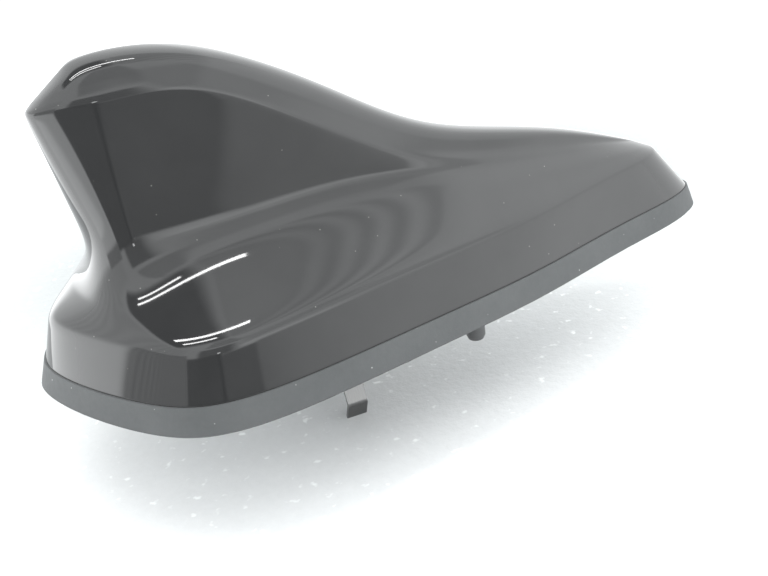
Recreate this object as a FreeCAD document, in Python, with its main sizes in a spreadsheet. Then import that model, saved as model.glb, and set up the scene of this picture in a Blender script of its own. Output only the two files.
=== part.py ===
import FreeCAD, Part
import Sketcher
import math
import os

# Shark fin roof antenna. Millimetres, +X to the nose, +Z up.
# The origin is where the axis of the fixing bolt meets the roof.

SIZES = (
    # cover: lengths run forward from its rear edge, heights up from the roof
    ("cover_length", 162.0, "base edge, rear to nose"),
    ("rear_reach", 63.0, "rear edge to the bolt axis"),
    ("cover_wall", 2.5, "wall of the cover"),
    ("rear_flank_half", 7.5, "half width where the rear edge starts to turn"),
    ("rear_corner_x", 15.0, "rear corner of the plan outline"),
    ("rear_corner_half", 31.0, "half width at the rear corner"),
    ("nose_corner_half", 6.5, "half width of the blunt nose"),
    ("nose_rake", 9.8, "how far the nose leans back up to the bevel"),
    ("skirt_draft", 3.0, "how far the skirt leans in up to the bevel"),
    ("bevel_z", 18.0, "top of the skirt"),
    ("rear_bevel_z", 16.2, "top of the skirt at the rear"),
    ("bevel_size", 1.6, "softness of the bevel"),
    ("rear_bevel_size", 2.2, "softness of the bevel at the rear"),
    ("panel_round", 6.0, "how far the side panel curves down to the bevel"),
    ("rear_panel_round", 6.5, "how far the rear deck curves down to the bevel"),
    ("deck_x", 11.0, "middle of the rear deck"),
    ("deck_half", 18.0, "half width of the rear deck"),
    ("deck_z", 21.2, "height of the rear deck"),
    ("deck_sweep", 3.0, "how far the deck's corner lies forward of its middle"),
    ("waist_x", 14.5, "waist under the overhanging tail"),
    ("waist_half", 11.8, "half width at the waist"),
    ("waist_z", 27.8, "height of the waist"),
    ("waist_sweep", 4.0, "how far the waist's corner lies forward of its middle"),
    ("tail_x", 8.6, "tip of the tail"),
    ("tail_half", 7.4, "half width of the tail"),
    ("tail_z", 58.6, "height of the tail"),
    ("tail_sweep", 6.5, "how far the tail's corner lies forward of its tip"),
    ("tail_lift", 2.2, "how far the tail's corner lies above its tip"),
    ("crease_lead", 4.0, "aft crease forward of the aft ridge"),
    ("crown_x", 10.4, "where the ridge starts"),
    ("crown_z", 60.2, "height where the ridge starts"),
    ("crease_size", 1.8, "softness of the crease along the fin, below it"),
    ("crease_crown", 2.0, "softness of the crease along the fin, above it"),
    ("nose_top_x", 146.5, "where the ridge meets the nose"),
    ("nose_top_z", 20.6, "height where the ridge meets the nose"),
    # five cross sections of the cover, rear to nose
    ("aft_x", 27.5, "place along the base"),
    ("aft_half", 39.0, "half width at the base"),
    ("aft_shoulder_half", 17.0, "half width at the shoulder"),
    ("aft_shoulder_z", 25.2, "height of the shoulder"),
    ("aft_foot_half", 11.8, "half width at the foot of the fin"),
    ("aft_foot_z", 29.6, "height of the foot"),
    ("aft_crease_half", 8.5, "half width at the crease"),
    ("aft_crease_z", 60.5, "height of the crease"),
    ("aft_ridge_x", 20.3, "place along the ridge"),
    ("aft_ridge_z", 67.8, "height of the ridge"),
    ("mid_x", 48.0, ""),
    ("mid_half", 37.0, ""),
    ("mid_shoulder_half", 15.0, ""),
    ("mid_shoulder_z", 27.4, ""),
    ("mid_foot_half", 10.8, ""),
    ("mid_foot_z", 30.8, ""),
    ("mid_crease_half", 9.7, ""),
    ("mid_crease_z", 61.3, ""),
    ("mid_ridge_x", 42.7, ""),
    ("mid_ridge_z", 67.6, ""),
    ("slope_x", 78.0, ""),
    ("slope_half", 30.0, ""),
    ("slope_shoulder_half", 13.5, ""),
    ("slope_shoulder_z", 28.6, ""),
    ("slope_foot_half", 9.2, ""),
    ("slope_foot_z", 32.5, ""),
    ("slope_crease_half", 8.8, ""),
    ("slope_crease_z", 41.0, ""),
    ("slope_ridge_x", 70.0, ""),
    ("slope_ridge_z", 51.6, ""),
    ("hood_x", 107.0, ""),
    ("hood_half", 23.8, ""),
    ("hood_shoulder_half", 13.2, ""),
    ("hood_shoulder_z", 25.2, ""),
    ("hood_foot_half", 10.2, ""),
    ("hood_foot_z", 28.0, ""),
    ("hood_crease_half", 7.6, ""),
    ("hood_crease_z", 31.0, ""),
    ("hood_ridge_x", 92.0, ""),
    ("hood_ridge_z", 35.4, ""),
    ("fore_x", 135.0, ""),
    ("fore_half", 12.6, ""),
    ("fore_shoulder_half", 8.0, ""),
    ("fore_shoulder_z", 21.5, ""),
    ("fore_foot_half", 6.4, ""),
    ("fore_foot_z", 23.8, ""),
    ("fore_crease_half", 4.8, ""),
    ("fore_crease_z", 26.6, ""),
    ("fore_ridge_x", 126.0, ""),
    ("fore_ridge_z", 30.0, ""),
    # gasket and base plate
    ("gasket_height", 6.0, "roof to the cover's edge"),
    ("gasket_flare", 2.2, "how far the gasket spreads at the roof"),
    ("gasket_shoulder", 0.4, "how far the gasket stands out under the cover"),
    ("gasket_chamfer", 0.8, "chamfer on the gasket's lower edge"),
    ("gasket_rim", 4.2, "edge of the pocket for the plate"),
    ("gasket_ledge", 2.5, "thickness of rubber under the plate"),
    ("gasket_opening", 8.5, "edge of the opening"),
    ("lip_groove_outer", 1.5, "outer edge of the groove between the lips"),
    ("lip_groove_inner", 6.0, "inner edge of the groove between the lips"),
    ("lip_groove_depth", 1.2, "depth of that groove"),
    ("plate_gap", 0.2, "clearance between plate and gasket rim"),
    ("plate_thickness", 3.0, "base plate"),
    ("plate_wall_inset", 1.6, "step from the plate's edge to its wall"),
    ("plate_wall", 1.8, "wall that stands on the plate"),
    ("plate_wall_height", 3.0, "height of that wall"),
    ("boss_radius", 8.5, "fixing boss through the roof"),
    ("boss_depth", 12.0, "boss below the roof"),
    ("cross_rib_rear", 24.0, "cross rib behind the bolt axis"),
    ("cross_rib_front", 55.5, "cross rib in front of the bolt axis"),
    ("cross_rib_thickness", 1.6, "cross rib"),
    ("cross_rib_height", 2.5, "cross rib above the plate"),
    ("post_radius", 3.0, "post under the circuit board"),
    ("post_height", 4.0, "plate to circuit board"),
    ("seal_rear", 14.0, "roof seal behind the bolt axis"),
    ("seal_front", 24.0, "roof seal in front of the bolt axis"),
    ("seal_half", 17.0, "half width of the roof seal"),
    ("seal_width", 4.0, "width of the seal's band"),
    ("seal_corner", 6.0, "corner radius of the seal"),
    # screws that hold the cover
    ("cover_boss_radius", 3.5, "screw boss in the cover"),
    ("rear_screw_x", 43.0, "behind the bolt axis"),
    ("rear_screw_half", 13.0, "half spacing of the rear pair"),
    ("front_screw_x", 63.0, "in front of the bolt axis"),
    ("cover_screw_radius", 1.5, "shank"),
    ("cover_screw_grip", 8.0, "length of shank in the boss"),
    ("cover_screw_head", 2.9, "head radius"),
    ("cover_screw_head_height", 1.8, "head height"),
    ("cover_screw_play", 0.2, "clearance in the plate"),
    ("screw_recess", 1.2, "half width of the drive recess"),
    ("screw_recess_depth", 0.9, "depth of the drive recess"),
    # circuit board
    ("board_rear", 38.0, "rear edge behind the bolt axis"),
    ("board_waist", 3.0, "start of the taper behind the bolt axis"),
    ("board_front", 55.0, "front edge before the bolt axis"),
    ("board_rear_half", 22.0, "half width at the rear"),
    ("board_front_half", 13.2, "half width at the front"),
    ("board_thickness", 1.6, "circuit board"),
    ("rear_post_x", 31.0, "behind the bolt axis"),
    ("rear_post_half", 17.0, "half spacing"),
    ("front_post_x", 25.0, "before the bolt axis"),
    ("front_post_half", 14.0, "half spacing"),
    ("board_screw_radius", 1.25, "shank"),
    ("board_screw_grip", 3.5, "length of shank in the post"),
    ("board_screw_head", 2.3, "head radius"),
    ("board_screw_head_height", 1.5, "head height"),
    ("can_rear", 21.0, "shield can, rear edge"),
    ("can_length", 31.0, "shield can"),
    ("can_width", 18.0, "shield can"),
    ("can_height", 2.6, "shield can"),
    ("can_sheet", 0.4, "sheet of the can"),
    # satellite patch
    ("patch_x", 41.0, "centre before the bolt axis"),
    ("patch_side", 25.0, "ceramic"),
    ("patch_height", 4.0, "ceramic"),
    ("tape_height", 0.4, "adhesive tape"),
    ("electrode_side", 21.0, "silvered face"),
    ("electrode_height", 0.1, "silvered face"),
    ("feed_offset", 3.0, "feed pin from the patch's centre"),
    ("feed_radius", 0.6, "feed pin"),
    ("feed_head", 1.2, "head of the feed pin"),
    ("feed_head_height", 0.3, "head of the feed pin"),
    # fin board and radiators
    ("fin_thickness", 1.0, "fin board"),
    ("fin_foot_rear", 33.0, "rear of its foot"),
    ("fin_foot_front", 1.0, "front of its foot"),
    ("fin_heel", 41.0, "rear edge where the waist is"),
    ("fin_heel_z", 30.0, "height of that place"),
    ("fin_tail", 46.0, "rear edge under the tail"),
    ("fin_tail_z", 51.0, "height of that place"),
    ("fin_top_rear", 43.5, "rear of the top edge"),
    ("fin_top_front", 17.0, "front of the top edge"),
    ("fin_headroom", 3.5, "top edge below the aft crease"),
    ("fin_brow", 1.0, "front edge half way"),
    ("fin_brow_z", 42.0, "height of that place"),
    ("holder_rear", 29.0, "board holder"),
    ("holder_length", 22.0, "board holder"),
    ("holder_half", 4.0, "board holder"),
    ("holder_height", 6.0, "board holder"),
    ("holder_foot", 1.2, "board holder"),
    ("holder_cheek", 1.6, "board holder"),
    ("cap_rear", 41.0, "top load"),
    ("cap_length", 24.0, "top load"),
    ("cap_half", 3.5, "top load"),
    ("cap_drop", 9.0, "top load"),
    ("cap_sheet", 0.5, "top load"),
    ("phone_x", 15.0, "front radiator"),
    ("phone_half", 10.0, "front radiator"),
    ("phone_waist_z", 22.0, "front radiator"),
    ("phone_top_half", 4.5, "front radiator"),
    ("phone_top_z", 33.0, "front radiator"),
    ("second_x", 36.5, "rear radiator, behind the bolt axis"),
    ("second_half", 13.0, "rear radiator"),
    ("second_top_z", 16.0, "rear radiator"),
    ("radiator_sheet", 0.4, "sheet of both radiators"),
    ("radiator_foot", 3.0, "solder foot of both radiators"),
    ("radiator_foot_half", 3.0, "solder foot of both radiators"),
    # connector under the roof
    ("port_x", 14.2, "coax ports before the bolt axis"),
    ("port_half", 5.4, "half spacing of the ports"),
    ("port_radius", 4.0, "outside of a port"),
    ("port_bore", 3.0, "bore of a port"),
    ("port_depth", 15.6, "ports below the roof"),
    ("port_bore_depth", 8.0, "depth of the bore"),
    ("block_length", 8.0, "connector block"),
    ("block_half", 10.4, "connector block"),
    ("block_depth", 9.0, "connector block below the roof"),
    ("block_flange", 1.0, "flange on the plate"),
    ("block_flange_height", 1.5, "flange on the plate"),
    ("block_gap", 0.2, "clearance in the plate"),
    ("sleeve_radius", 1.9, "outer conductor"),
    ("sleeve_wall", 0.3, "outer conductor"),
    ("pin_radius", 0.5, "inner conductor"),
    ("pin_setback", 1.0, "conductors behind the port's mouth"),
    # locating peg
    ("peg_x", 37.2, "before the bolt axis"),
    ("peg_radius", 2.4, "peg"),
    ("peg_depth", 21.0, "peg below the roof"),
    ("peg_round", 1.4, "rounded end"),
    ("peg_collar", 4.5, "collar under the plate"),
    ("peg_collar_height", 1.5, "collar under the plate"),
    ("peg_spigot", 2.0, "spigot in the plate"),
    ("peg_head", 3.2, "formed head on the plate"),
    ("peg_head_height", 1.0, "formed head on the plate"),
    # spring clip and bolt
    ("clip_sheet", 0.8, "spring sheet"),
    ("clip_length", 14.0, "plate of the clip, along the antenna"),
    ("clip_half", 8.4, "half width of the plate"),
    ("clip_leg", 4.8, "width of a leg"),
    ("clip_knee_half", 12.4, "half width over the knees"),
    ("clip_knee_z", 20.0, "knees below the roof"),
    ("clip_end_half", 10.4, "half width at the ends"),
    ("clip_end_z", 24.2, "ends below the roof"),
    ("clip_bend", 1.2, "bend radius on the sheet's middle"),
    ("bolt_radius", 3.0, "bolt shank"),
    ("bolt_length", 16.0, "bolt under its flange"),
    ("bolt_flange", 6.4, "bolt flange radius"),
    ("bolt_flange_height", 1.2, "bolt flange"),
    ("bolt_head_flats", 10.0, "across the flats"),
    ("bolt_head_height", 4.5, "hexagon"),
    ("bolt_play", 0.3, "clearance round the bolt"),
    ("washer_radius", 5.6, "spring washer"),
    ("washer_height", 1.2, "spring washer"),
)

STATIONS = ("aft", "mid", "slope", "hood", "fore")

doc = FreeCAD.newDocument("antenna")
sheet = doc.addObject("Spreadsheet::Sheet", "Sizes")
for row, (alias, value, note) in enumerate(SIZES, start=1):
    sheet.set("A%d" % row, alias)
    sheet.set("B%d" % row, str(value))
    sheet.set("C%d" % row, note)
    sheet.setAlias("B%d" % row, alias)
doc.recompute()


def size(alias):
    return float(sheet.get(alias))


def value_of(text):
    return float(sheet.evalExpression(text))


def cell(text):
    """Expression text in which each alias is written without its sheet."""
    words = []
    word = ""
    for letter in text + " ":
        if letter.isalnum() or letter in "_.":
            word += letter
            continue
        if word and (word[0].isalpha()):
            word = "Sizes." + word
        words.append(word + letter)
        word = ""
    return "".join(words).strip()


PLATE_Z = "gasket_ledge"
PLATE_TOP = "gasket_ledge + plate_thickness"
BOARD_Z = PLATE_TOP + " + post_height"
BOARD_TOP = BOARD_Z + " + board_thickness"
FIN_TOP = "aft_crease_z - fin_headroom"


def bind(thing, path, text):
    thing.setExpression(path, cell(text))


def place(thing, x="0", y="0", z="0"):
    for axis, text in (("x", x), ("y", y), ("z", z)):
        bind(thing, "Placement.Base." + axis, text)
    return thing


def box(name, length, width, height, x, y, z):
    thing = doc.addObject("Part::Box", name)
    bind(thing, "Length", length)
    bind(thing, "Width", width)
    bind(thing, "Height", height)
    return place(thing, x, y, z)


def rod(name, radius, height, x, y, z):
    thing = doc.addObject("Part::Cylinder", name)
    bind(thing, "Radius", radius)
    bind(thing, "Height", height)
    return place(thing, x, y, z)


def fuse(name, things):
    whole = doc.addObject("Part::MultiFuse", name)
    whole.Shapes = things
    whole.Refine = True
    return whole


def cut(name, base, tool):
    whole = doc.addObject("Part::Cut", name)
    whole.Base = base
    whole.Tool = tool
    return whole


def common(name, things):
    whole = doc.addObject("Part::MultiCommon", name)
    whole.Shapes = things
    return whole


def solid(name, shape):
    thing = doc.addObject("Part::Feature", name)
    thing.Shape = shape
    return thing


def plane_of(body, role):
    for feature in body.Origin.OriginFeatures:
        if feature.Role == role:
            return feature
    raise ValueError(role)


def sketch_on(body, role, offset):
    sketch = body.newObject("Sketcher::SketchObject", body.Name + "_sketch")
    sketch.AttachmentSupport = (plane_of(body, role), [""])
    sketch.MapMode = "FlatFace"
    bind(sketch, "AttachmentOffset.Base.z", offset)
    return sketch


def hold(sketch, kind, geometry, position, text):
    """Tie one coordinate of a point to the sheet."""
    if text == "0":
        axis = -2 if kind == "DistanceX" else -1
        sketch.addConstraint(Sketcher.Constraint("PointOnObject", geometry, position, axis))
        return
    amount = value_of(cell(text))
    index = sketch.addConstraint(Sketcher.Constraint(kind, -1, 1, geometry, position, amount))
    bind(sketch, "Constraints[%d]" % index, text)


def polygon(sketch, corners):
    """Closed outline of straight lines; each corner is two expressions."""
    spots = [FreeCAD.Vector(value_of(cell(a)), value_of(cell(b)), 0) for a, b in corners]
    count = len(spots)
    first = sketch.GeometryCount
    for k in range(count):
        sketch.addGeometry(Part.LineSegment(spots[k], spots[(k + 1) % count]), False)
    for k in range(count):
        after = first + (k + 1) % count
        sketch.addConstraint(Sketcher.Constraint("Coincident", first + k, 2, after, 1))
    for k, (a, b) in enumerate(corners):
        hold(sketch, "DistanceX", first + k, 1, a)
        hold(sketch, "DistanceY", first + k, 1, b)


def circle(sketch, x, y, radius):
    middle = FreeCAD.Vector(value_of(cell(x)), value_of(cell(y)), 0)
    amount = value_of(cell(radius))
    index = sketch.addGeometry(Part.Circle(middle, FreeCAD.Vector(0, 0, 1), amount), False)
    hold(sketch, "DistanceX", index, 3, x)
    hold(sketch, "DistanceY", index, 3, y)
    rule = sketch.addConstraint(Sketcher.Constraint("Radius", index, amount))
    bind(sketch, "Constraints[%d]" % rule, radius)


def rounded(sketch, left, right, low, high, radius):
    """Rectangle with round corners."""
    x0, x1, y0, y1, r = (value_of(cell(text)) for text in (left, right, low, high, radius))
    ends = ((x0 + r, y0), (x1 - r, y0), (x1, y0 + r), (x1, y1 - r), (x1 - r, y1), (x0 + r, y1),
            (x0, y1 - r), (x0, y0 + r))
    middles = ((x1 - r, y0 + r), (x1 - r, y1 - r), (x0 + r, y1 - r), (x0 + r, y0 + r))
    first = sketch.GeometryCount
    for k, (x, y) in enumerate(middles):
        start, end = (FreeCAD.Vector(*ends[2 * k + step], 0) for step in (0, 1))
        sketch.addGeometry(Part.LineSegment(start, end), False)
        turn = Part.Circle(FreeCAD.Vector(x, y, 0), FreeCAD.Vector(0, 0, 1), r)
        begin = math.radians(90 * k - 90)
        sketch.addGeometry(Part.ArcOfCircle(turn, begin, begin + math.pi / 2), False)
    for k in range(4):
        line, arc, after = first + 2 * k, first + 2 * k + 1, first + (2 * k + 2) % 8
        sketch.addConstraint(Sketcher.Constraint("Tangent", line, 2, arc, 1))
        sketch.addConstraint(Sketcher.Constraint("Tangent", arc, 2, after, 1))
        sketch.addConstraint(Sketcher.Constraint("Horizontal" if k % 2 == 0 else "Vertical", line))
        if k:
            sketch.addConstraint(Sketcher.Constraint("Equal", first + 1, arc))
    index = sketch.addConstraint(Sketcher.Constraint("Radius", first + 1, r))
    bind(sketch, "Constraints[%d]" % index, radius)
    hold(sketch, "DistanceY", first, 1, low)
    hold(sketch, "DistanceX", first + 2, 1, right)
    hold(sketch, "DistanceY", first + 4, 1, high)
    hold(sketch, "DistanceX", first + 6, 1, left)


def new_body(name):
    return doc.addObject("PartDesign::Body", name)


def pad(body, sketch, length):
    feature = body.newObject("PartDesign::Pad", body.Name + "_pad")
    feature.Profile = sketch
    bind(feature, "Length", length)
    body.Tip = feature
    return feature


def pocket(body, sketch, length):
    feature = body.newObject("PartDesign::Pocket", body.Name + "_pocket")
    feature.Profile = sketch
    bind(feature, "Length", length)
    body.Tip = feature
    return feature


def flat(name, role, offset, corners, thickness):
    body = new_body(name)
    sketch = sketch_on(body, role, offset)
    polygon(sketch, corners)
    pad(body, sketch, thickness)
    return body


def turned(name, corners):
    """A piece turned about its own upright axis: corners are (radius, height)."""
    body = new_body(name)
    sketch = sketch_on(body, "XZ_Plane", "0")
    polygon(sketch, corners)
    feature = body.newObject("PartDesign::Revolution", name + "_turn")
    feature.Profile = sketch
    feature.ReferenceAxis = (sketch, ["V_Axis"])
    feature.Angle = 360
    body.Tip = feature
    return body


def rectangle(left, right, low, high):
    return ((left, low), (right, low), (right, high), (left, high))


def group(name, blank, spots):
    """Copies of one piece as separate solids of one node."""
    return solid(name, Part.Compound([blank.Shape.translated(spot) for spot in spots]))


def spot(x, y, z):
    return FreeCAD.Vector(value_of(cell(x)), value_of(cell(y)), value_of(cell(z)))


# The cover's half skin is one B-spline patch. Its poles run in ten columns from the
# rear centre line to the nose and in rows from the base edge up to the ridge.

DEGREE = 3


def lerp(a, b, share):
    return a + (b - a) * share


def toward(a, b, distance):
    gap = b - a
    return a + gap * min(distance / max(gap.Length, 1e-6), 0.45)


def key_rows():
    """Poles of the six rows that shape the cover, without any inset."""
    rear = size("rear_reach")
    length = size("cover_length")
    vector = FreeCAD.Vector
    names = ("base", "bevel", "shoulder", "foot", "crease", "ridge")
    rows = {name: [] for name in names}
    draft = size("skirt_draft")
    flank = size("rear_flank_half")
    corner = size("rear_corner_half")
    for x, half, lean in ((0, 0, 0), (0, flank, 0.5), (size("rear_corner_x"), corner, 1)):
        rows["base"].append(vector(x, half, size("gasket_height")))
        rows["bevel"].append(vector(x + draft, half - draft * lean, size("rear_bevel_z")))
    for share, sweep, width in ((0, 0, 0), (0.5, 0, 0.4), (1, 1, 1)):
        rows["shoulder"].append(vector(size("deck_x") + size("deck_sweep") * sweep, size("deck_half") * share,
                                       size("deck_z")))
        rows["foot"].append(vector(size("waist_x") + size("waist_sweep") * sweep, size("waist_half") * width,
                                   size("waist_z")))
        rows["crease"].append(vector(size("tail_x") + size("tail_sweep") * sweep, size("tail_half") * width,
                                     size("tail_z") + size("tail_lift") * sweep))
        rise = 0.7 * share
        rows["ridge"].append(vector(lerp(size("crown_x"), size("aft_ridge_x"), rise), 0,
                                    lerp(size("crown_z"), size("aft_ridge_z"), rise)))
    lean_back = {"aft": 0.85, "mid": 0.25}
    spread_along = {"slope": (0.4, 0.2), "hood": (0.4, 0.3), "fore": (0.4, 0.3)}
    for name in STATIONS:
        base = size(name + "_x")
        half = size(name + "_half")
        ridge = size(name + "_ridge_x")
        height = size("bevel_z")
        if name == "aft":
            height = lerp(size("rear_bevel_z"), height, 0.4)
        rows["base"].append(vector(base, half, size("gasket_height")))
        rows["bevel"].append(vector(base, half - draft, height))
        back, forth = spread_along.get(name, (0, 0))
        rows["shoulder"].append(vector(lerp(base, ridge, back), size(name + "_shoulder_half"),
                                       size(name + "_shoulder_z")))
        share = lean_back.get(name, 0)
        foot = lerp(ridge, base, forth) + share * (size("waist_x") - size("crown_x"))
        crease = ridge + share * (size("tail_x") - size("crown_x"))
        if name == "aft":
            crease = ridge + size("crease_lead")
        rows["foot"].append(vector(foot, size(name + "_foot_half"), size(name + "_foot_z")))
        rows["crease"].append(vector(crease, size(name + "_crease_half"), size(name + "_crease_z")))
        rows["ridge"].append(vector(ridge, 0, size(name + "_ridge_z")))
    low = vector(length - size("nose_rake"), 0, size("bevel_z"))
    high = vector(size("nose_top_x"), 0, size("nose_top_z"))
    climb = {"bevel": 0, "shoulder": 0.5, "foot": 0.77, "crease": 0.96, "ridge": 1}
    spread = {"bevel": 0.77, "shoulder": 0.62, "foot": 0.46, "crease": 0.23, "ridge": 0}
    nose = size("nose_corner_half")
    rows["base"].append(vector(length, nose, size("gasket_height")))
    rows["base"].append(vector(length, 0, size("gasket_height")))
    for name in names[1:]:
        middle = lerp(low, high, climb[name])
        rows[name].append(middle + vector(0, nose * spread[name], 0))
        rows[name].append(middle)
    for name in names:
        for pole in rows[name]:
            pole.x -= rear
    return rows


# How far an inset of one millimetre moves each row, sideways and down.
INSET = {"base": (1, 0), "bevel": (1, 0.5), "shoulder": (0.5, 0.95), "foot": (0.9, 0.5),
         "crease": (1, 0.8), "ridge": (0, 1)}


def inset_pole(name, column, pole, inset):
    sideways, down = INSET[name]
    moved = FreeCAD.Vector(pole)
    if column <= 2:
        moved.x += inset * (1 if name == "ridge" else sideways)
        moved.z -= inset * (0.5 if name == "ridge" else down)
        if column == 2:
            moved.y -= inset * sideways
    elif column <= 7:
        moved.y -= inset * sideways
        moved.z -= inset * down
    else:
        moved.x -= inset * (1.3 if name != "base" else 1.0)
        moved.z -= inset * down
        if column == 8:
            moved.y -= inset * 0.5 * sideways
    if column in (0, 9) or name == "ridge":
        moved.y = 0
    return moved


# Columns near the tail where the roof of the fin turns into a hip: how far the row inside
# the ridge falls towards the crease, and its share of the crease's half width.
HIPS = {1: (0.2, 0.6), 2: (0.3, 0.6), 3: (0.1, 0.5)}


def blended(rear, front):
    """One size for each column: three at the rear, one between, six to the nose."""
    return [size(rear)] * 3 + [(size(rear) + size(front)) / 2] + [size(front)] * 6


def skin_poles(inset, drop):
    keys = key_rows()
    for name in keys:
        keys[name] = [inset_pole(name, k, pole, inset) for k, pole in enumerate(keys[name])]
    base = [pole - FreeCAD.Vector(0, 0, drop) for pole in keys["base"]]
    bevel, shoulder, foot, crease, ridge = (keys[n] for n in ("bevel", "shoulder", "foot", "crease", "ridge"))
    columns = range(len(base))
    crisp = blended("rear_bevel_size", "bevel_size")
    soft = blended("rear_panel_round", "panel_round")
    above = [toward(bevel[k], shoulder[k], soft[k]) for k in columns]
    below = [toward(crease[k], foot[k], size("crease_size")) for k in columns]
    low_fin = [lerp(foot[k], crease[k], 0.3) for k in columns]
    inner = []
    for k in columns:
        fall, width = HIPS.get(k, (0, 0.55))
        pole = lerp(ridge[k], crease[k], fall)
        pole.y = width * crease[k].y
        inner.append(pole)
    upper = [toward(crease[k], inner[k], size("crease_crown")) for k in columns]
    return (base, [lerp(base[k], bevel[k], 0.5) for k in columns],
            [toward(bevel[k], base[k], crisp[k]) for k in columns], bevel, above,
            [lerp(above[k], shoulder[k], 0.5) for k in columns], shoulder, foot, low_fin,
            [lerp(low_fin[k], below[k], 0.5) for k in columns], below, crease, upper, inner, ridge)


def clamped(count):
    """Knots and multiplicities of a clamped, even B-spline."""
    spans = count - DEGREE
    knots = [k / spans for k in range(spans + 1)]
    return knots, [DEGREE + 1] + [1] * (spans - 1) + [DEGREE + 1]


def mirrored(poles):
    return [FreeCAD.Vector(pole.x, -pole.y, pole.z) for pole in poles]


def curve(poles):
    knots, mults = clamped(len(poles))
    line = Part.BSplineCurve()
    line.buildFromPolesMultsKnots(poles, mults, knots, False, DEGREE)
    return line.toShape()


def patch(rows):
    row_knots, row_mults = clamped(len(rows))
    knots, mults = clamped(len(rows[0]))
    surface = Part.BSplineSurface()
    surface.buildFromPolesMultsKnots(list(rows), row_mults, mults, row_knots, knots,
                                     False, False, DEGREE, DEGREE)
    return surface.toShape()


def skin(inset, drop=0.0):
    """Solid inside the cover's skin, moved in by the inset and down at its base."""
    left = skin_poles(inset, drop)
    right = [mirrored(row) for row in left]
    floor = Part.Face(Part.Wire([curve(left[0]), curve(right[0])]))
    shell = Part.Shell([patch(left), patch(right), floor])
    shell.sewShape()
    whole = Part.Solid(shell)
    if whole.Volume < 0:
        whole.reverse()
    return whole


def outline(inset, z):
    """The cover's plan outline, moved in by the inset, at one height."""
    poles = [inset_pole("base", k, pole, inset) for k, pole in enumerate(key_rows()["base"])]
    left = [FreeCAD.Vector(pole.x, max(pole.y, 0.0), z) for pole in poles]
    return Part.Wire([curve(left), curve(mirrored(left))])


def stack(levels):
    """Solid through plan outlines given as (inset, height)."""
    return Part.makeLoft([outline(inset, z) for inset, z in levels], True, True)


# cover

wall = size("cover_wall")
cover_skin = solid("cover_skin", skin(0.0))
cover_cavity = solid("cover_cavity", skin(wall, 1.0))
cover_middle = solid("cover_middle", skin(wall / 2, 1.0))
screw_spots = (("-rear_screw_x", "rear_screw_half"), ("-rear_screw_x", "-rear_screw_half"),
               ("front_screw_x", "0"))
boss_rods = []
pilot_rods = []
for number, (x, y) in enumerate(screw_spots):
    boss_rods.append(rod("cover_boss_%d" % number, "cover_boss_radius", "fore_ridge_z", x, y, PLATE_TOP))
    pilot_rods.append(rod("cover_pilot_%d" % number, "cover_screw_radius", "cover_screw_grip + 1", x, y,
                          PLATE_TOP))
cover_shell = cut("cover_shell", cover_skin, cover_cavity)
boss_set = fuse("cover_boss_set", boss_rods)
bosses = common("cover_bosses", [boss_set, cover_middle])
pilots = fuse("cover_pilots", pilot_rods)
cover_whole = fuse("cover_whole", [cover_shell, bosses])
cover = cut("cover", cover_whole, pilots)

# gasket

flare = size("gasket_flare")
chamfer = size("gasket_chamfer")
top = size("gasket_height")
ledge = size("gasket_ledge")
gasket_block = solid("gasket_block", stack(((chamfer - flare, 0.0), (-flare, chamfer),
                                            (-size("gasket_shoulder"), top))))
gasket_pocket = solid("gasket_pocket", stack(((size("gasket_rim"), ledge), (size("gasket_rim"), top + 1))))
gasket_hole = solid("gasket_hole", stack(((size("gasket_opening"), -1.0), (size("gasket_opening"), top))))
groove_depth = size("lip_groove_depth")
groove_out = solid("groove_out", stack(((size("lip_groove_outer"), -1.0),
                                        (size("lip_groove_outer"), groove_depth))))
groove_in = solid("groove_in", stack(((size("lip_groove_inner"), -2.0),
                                      (size("lip_groove_inner"), groove_depth + 1))))
gasket_groove = cut("gasket_groove", groove_out, groove_in)
gasket_pocketed = cut("gasket_pocketed", gasket_block, gasket_pocket)
gasket_open = cut("gasket_open", gasket_pocketed, gasket_hole)
gasket = cut("gasket", gasket_open, gasket_groove)

# base plate

edge = size("gasket_rim") + size("plate_gap")
plate_top = value_of(cell(PLATE_TOP))
plate_body = solid("plate_body", stack(((edge, ledge), (edge, plate_top))))
wall_out = edge + size("plate_wall_inset")
wall_in = wall_out + size("plate_wall")
wall_top = plate_top + size("plate_wall_height")
wall_block = solid("plate_wall_block", stack(((wall_out, plate_top - 1), (wall_out, wall_top))))
wall_core = solid("plate_wall_core", stack(((wall_in, plate_top - 2), (wall_in, wall_top + 1))))
plate_rib = cut("plate_rib", wall_block, wall_core)
cross_bars = []
for number, x in enumerate(("-cross_rib_rear", "cross_rib_front")):
    cross_bars.append(box("cross_bar_%d" % number, "cross_rib_thickness", "2 * aft_half",
                          "cross_rib_height + 1", x + " - cross_rib_thickness / 2", "-aft_half",
                          PLATE_TOP + " - 1"))
cross_ribs = common("cross_ribs", [fuse("cross_bar_set", cross_bars), wall_block])
post_spots = (("-rear_post_x", "rear_post_half"), ("-rear_post_x", "-rear_post_half"),
              ("front_post_x", "front_post_half"), ("front_post_x", "-front_post_half"))
posts = []
plate_holes = []
for number, (x, y) in enumerate(post_spots):
    posts.append(rod("post_%d" % number, "post_radius", "post_height + 1", x, y, PLATE_TOP + " - 1"))
    plate_holes.append(rod("post_hole_%d" % number, "board_screw_radius", "board_screw_grip + 0.5", x, y,
                           BOARD_Z + " - board_screw_grip - 0.5"))
for number, (x, y) in enumerate(screw_spots):
    plate_holes.append(rod("screw_hole_%d" % number, "cover_screw_radius + cover_screw_play",
                           "plate_thickness + 2", x, y, PLATE_Z + " - 1"))
    plate_holes.append(rod("boss_clear_%d" % number, "cover_boss_radius + 0.5", "plate_wall_height + 1", x, y,
                           PLATE_TOP))
fixing_boss = rod("fixing_boss", "boss_radius", "boss_depth + gasket_ledge + 1", "0", "0", "-boss_depth")
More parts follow.
